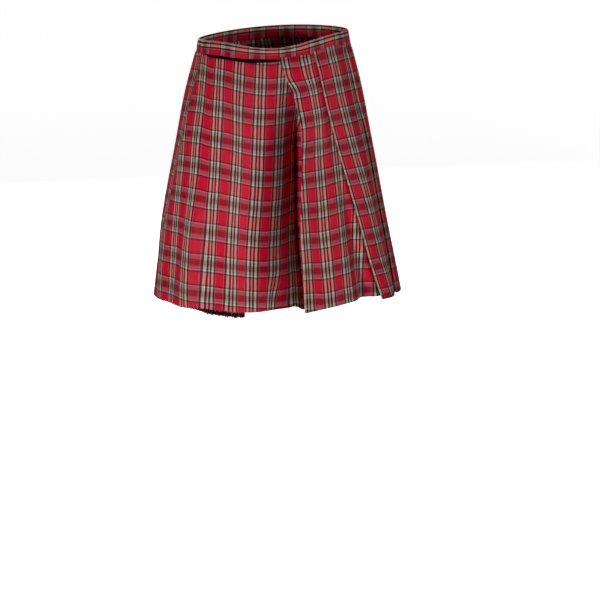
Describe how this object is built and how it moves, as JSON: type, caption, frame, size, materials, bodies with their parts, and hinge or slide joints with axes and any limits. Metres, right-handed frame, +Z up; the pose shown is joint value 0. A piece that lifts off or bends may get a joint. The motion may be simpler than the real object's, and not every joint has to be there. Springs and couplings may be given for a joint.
{
  "type": "scottish kilt",
  "caption": "Knee-length wrap-over kilt in red tartan as it is worn: a hollow flared skirt with knife pleats, a plain over apron and a narrow waistband, open at waist and hem.",
  "frame": {"origin": "middle of the waist opening, at half the height of the waistband at its sides", "axes": "+Z up, -Y the wearer's front, +X the wearer's left"},
  "size_m": [0.5348, 0.4211, 0.5812],
  "materials": {
    "red_tartan": "light polyester twill with a soft satin sheen, woven in a red tartan",
    "black_tape": "matt black fastening tape"
  },
  "bodies": {
    "root": {"waistband": "red_tartan", "fastening_tape": "black_tape", "under_apron": "red_tartan", "right_side_pleats": "red_tartan", "back_pleats": "red_tartan", "left_side_pleats": "red_tartan", "apron_pleat": "red_tartan", "over_apron": "red_tartan"}
  },
  "joints": []
}
